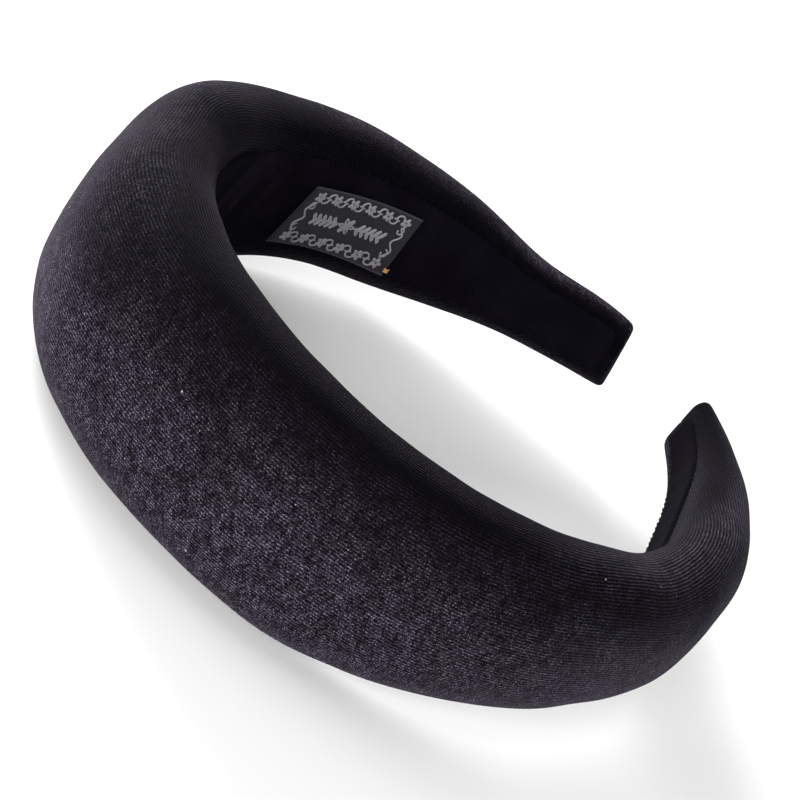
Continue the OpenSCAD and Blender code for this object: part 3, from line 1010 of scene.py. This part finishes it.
def label_ornament():
    """Pale woven ornament: scrolls and rosettes round the edge, and a flower between two leafy sprigs."""
    lines = []
    inset, pitch = 2.6, 5.0
    span = LABEL_LENGTH - 2 * inset - 2.0
    count = int(span / pitch)
    for y0, way in ((inset, 1), (LABEL_WIDTH - inset, -1)):
        for k in range(count + 1):
            x0 = inset + 1.0 + span * k / count
            lines.append(rosette((x0, y0), 1.35, 5))
            if k == count:
                continue
            middle = x0 + span / count / 2
            lines.append(spiral((middle - 0.6, y0 + 0.35 * way), 1.4, math.pi, -way))
            lines.append(spiral((middle + 0.6, y0 - 0.35 * way), 1.4, 0.0, -way))
    y = np.linspace(inset + 1.5, LABEL_WIDTH - inset - 1.5, 60)
    share = (y - y[0]) / (y[-1] - y[0])
    for x0, way in ((inset + 0.2, 1), (LABEL_LENGTH - inset - 0.2, -1)):
        lines.append(np.stack([x0 + way * (0.3 + 0.9 * np.cos(4 * math.pi * share)) * 0.8, y], 1))
        for end in (y[0] + 1.3, y[-1] - 1.3):
            lines.append(spiral((x0 + way * 0.9, end), 1.3, 0.5 * math.pi, way))
    middle_x, middle_y = LABEL_LENGTH / 2, LABEL_WIDTH / 2
    lines.append(rosette((middle_x, middle_y), 2.3, 6))
    lines.append(rosette((middle_x, middle_y), 0.8, 6))
    leaf = np.linspace(0, 2 * math.pi, 20)
    long = 0.95 * np.cos(leaf) + 0.7
    wide = 0.32 * np.sin(leaf)
    for side in (-1, 1):
        stem = np.linspace(2.4, 10.6, 30)
        lines.append(np.stack([middle_x + side * stem, middle_y + 0.22 * np.sin(stem * 1.3)], 1))
        for k in range(5):
            for up in (-1, 1):
                x0 = middle_x + side * (3.4 + 1.6 * k + 0.3 * up)
                leaf_x = x0 + side * (0.62 * long - 0.6 * wide)
                leaf_y = middle_y + up * (long + 0.5 * wide)
                lines.append(np.stack([leaf_x, leaf_y], 1))
    return lines


def woven_label():
    """The label's ground, with softened edges and turned-under ends, and the raised threads on it."""
    columns, rows = 61, 31
    x = np.linspace(0, LABEL_LENGTH, columns)
    y = np.linspace(0, LABEL_WIDTH, rows)
    grid_x, grid_y = np.meshgrid(x, y, indexing="ij")
    from_end = np.minimum(grid_x, LABEL_LENGTH - grid_x)
    from_edge = np.minimum(from_end, np.minimum(grid_y, LABEL_WIDTH - grid_y))
    soft = np.sqrt(1 - (1 - np.clip(from_edge / 0.5, 0, 1)) ** 2)
    fold = 0.06 * (from_end < LABEL_FOLD)
    face = label_place(grid_x, grid_y, -0.22 * (1 - soft) + fold * soft)
    back = label_place(grid_x, grid_y, -LABEL_THICKNESS + 0.2 * (1 - soft) + LABEL_SLACK)
    faces = grid_faces(columns, rows)
    under = columns * rows
    faces += [tuple(under + k for k in reversed(f)) for f in grid_faces(columns, rows)]
    border = (
        [i * rows for i in range(columns)]
        + [(columns - 1) * rows + j for j in range(1, rows)]
        + [i * rows + rows - 1 for i in range(columns - 2, -1, -1)]
        + [j for j in range(rows - 2, 0, -1)]
    )
    for a, b in zip(border, border[1:] + border[:1]):
        faces.append((b, a, under + a, under + b))
    ground = len(faces)
    points = [face.reshape(-1, 3), back.reshape(-1, 3)]
    uvs = [pairs(grid_x, grid_y)] * 2
    for outline in label_ornament():
        path = label_place(outline[:, 0], outline[:, 1], 0.05)
        tube(path, 0.25, 6, points, faces, uvs)
    obj = new_object("sewn_label", np.concatenate(points), faces)
    set_uv(obj, np.concatenate(uvs))
    obj.data.materials.append(LABEL_LOOK)
    obj.data.materials.append(PALE_LOOK)
    index = np.zeros(len(obj.data.polygons), int)
    index[ground:] = 1
    obj.data.polygons.foreach_set("material_index", index)
    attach(obj, "left_arm")
    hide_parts("woven_label")


def label_tack():
    """A few turns of gold-coloured thread over the label's lower corner."""
    points, faces, uvs = [], [], []
    for k in range(4):
        t = np.linspace(0, 1, 11)
        x = LABEL_LENGTH - 0.75 + 1.45 * t
        y = 1.35 + 0.3 * k + 0.12 * np.sin(math.pi * t + k)
        lift = -0.28 + 0.52 * np.sin(math.pi * t) ** 0.7
        tube(label_place(x, y, lift), 0.17, 7, points, faces, uvs)
    obj = new_object("gold_tack", np.concatenate(points), faces)
    set_uv(obj, np.concatenate(uvs))
    obj.data.materials.append(GOLD_LOOK)
    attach(obj, "left_arm")
    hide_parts("label_tack")


velvet_cover()
foam_pad()
make_strip(
    "hoop", lambda s: -hoop_half(s), hoop_half, HOOP_LOW, HOOP_HIGH,
    bevel=0.4, look=HOOP_LOOK, inset=END_GAP,
)
make_strip(
    "foam_tape", lambda s: TAPE_MARGIN - hoop_half(s), lambda s: hoop_half(s) - TAPE_MARGIN,
    HOOP_HIGH, FOAM_LOW, bevel=0.02, look=TAPE_LOOK, inset=END_GAP,
)
hem_glue()
make_strip(
    "lining_glue", lambda s: hem_edge(s, -1) + GLUE_MARGIN, lambda s: hem_edge(s, 1) - GLUE_MARGIN,
    LINING, HOOP_LOW, bevel=0.2, look=GLUE_LOOK, inset=END_INSET + LINING_GLUE_END,
)
inner_lining()
seam_stitches("upper_seam_stitches", 1)
seam_stitches("lower_seam_stitches", -1)
woven_label()
label_tack()

# ---------------------------------------------------------------- floor, light and camera


def make_floor():
    """A plain pale floor, just clear of the band's lowest point."""
    half_size, gap = 6000.0, 0.2 * MM
    corners = [(x * half_size, y * half_size, 0) for x, y in ((-1, -1), (1, -1), (1, 1), (-1, 1))]
    floor = new_object("floor", corners, [(0, 1, 2, 3)])
    floor.data.materials.append(floor_material())
    floor.location.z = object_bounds()[0].z - gap


def area_light(name, where, target, size, power):
    """A round, soft light of this diameter and power, in metres and watts."""
    data = bpy.data.lights.new(name, "AREA")
    data.shape = "DISK"
    data.size = size
    data.energy = power
    lamp = bpy.data.objects.new(name, data)
    lamp.location = where
    lamp.rotation_mode = "QUATERNION"
    lamp.rotation_quaternion = (Vector(target) - Vector(where)).to_track_quat("-Z", "Y")
    bpy.context.scene.collection.objects.link(lamp)


def make_lights():
    """One light in front, one that grazes the left side, and a broad one above."""
    area_light("key", (0.50, -1.10, 0.42), (0, 0, 0.02), size=0.9, power=27.0)
    area_light("left_rim", (-1.10, 0.25, 0.42), (0, 0, 0.02), size=0.7, power=30.0)
    area_light("top", (-0.4, -0.6, 1.7), (0, 0, 0), size=1.8, power=13.0)
    world = bpy.data.worlds.new("studio")
    world.use_nodes = True
    background = world.node_tree.nodes["Background"]
    background.inputs["Color"].default_value = (1.0, 1.0, 1.0, 1.0)
    background.inputs["Strength"].default_value = 0.2
    bpy.context.scene.world = world


def make_camera():
    """At the photograph's viewing angle, rolled about its own axis."""
    azimuth, elevation, roll = (math.radians(a) for a in (32.43, 27.62, 38.54))
    target = Vector((5.18, -10.26, 24.30)) * MM
    distance = 462.66 * MM
    level_share = math.cos(elevation)
    back = Vector((math.sin(azimuth) * level_share, -math.cos(azimuth) * level_share, math.sin(elevation)))
    level = Vector((math.cos(azimuth), math.sin(azimuth), 0.0))
    above = back.cross(level)
    right = level * math.cos(roll) + above * math.sin(roll)
    up = above * math.cos(roll) - level * math.sin(roll)
    data = bpy.data.cameras.new("camera")
    data.sensor_width = 36.0
    data.lens = 100.42
    data.clip_start, data.clip_end = 0.01, 20.0
    camera = bpy.data.objects.new("camera", data)
    matrix = Matrix.Identity(4)
    for k, axis in enumerate((right, up, back)):
        matrix.col[k] = (*axis, 0.0)
    matrix.col[3] = (*(target + back * distance), 1.0)
    camera.matrix_world = matrix
    bpy.context.scene.collection.objects.link(camera)
    bpy.context.scene.camera = camera


make_floor()
make_lights()
make_camera()
bpy.context.scene.view_settings.view_transform = "Standard"
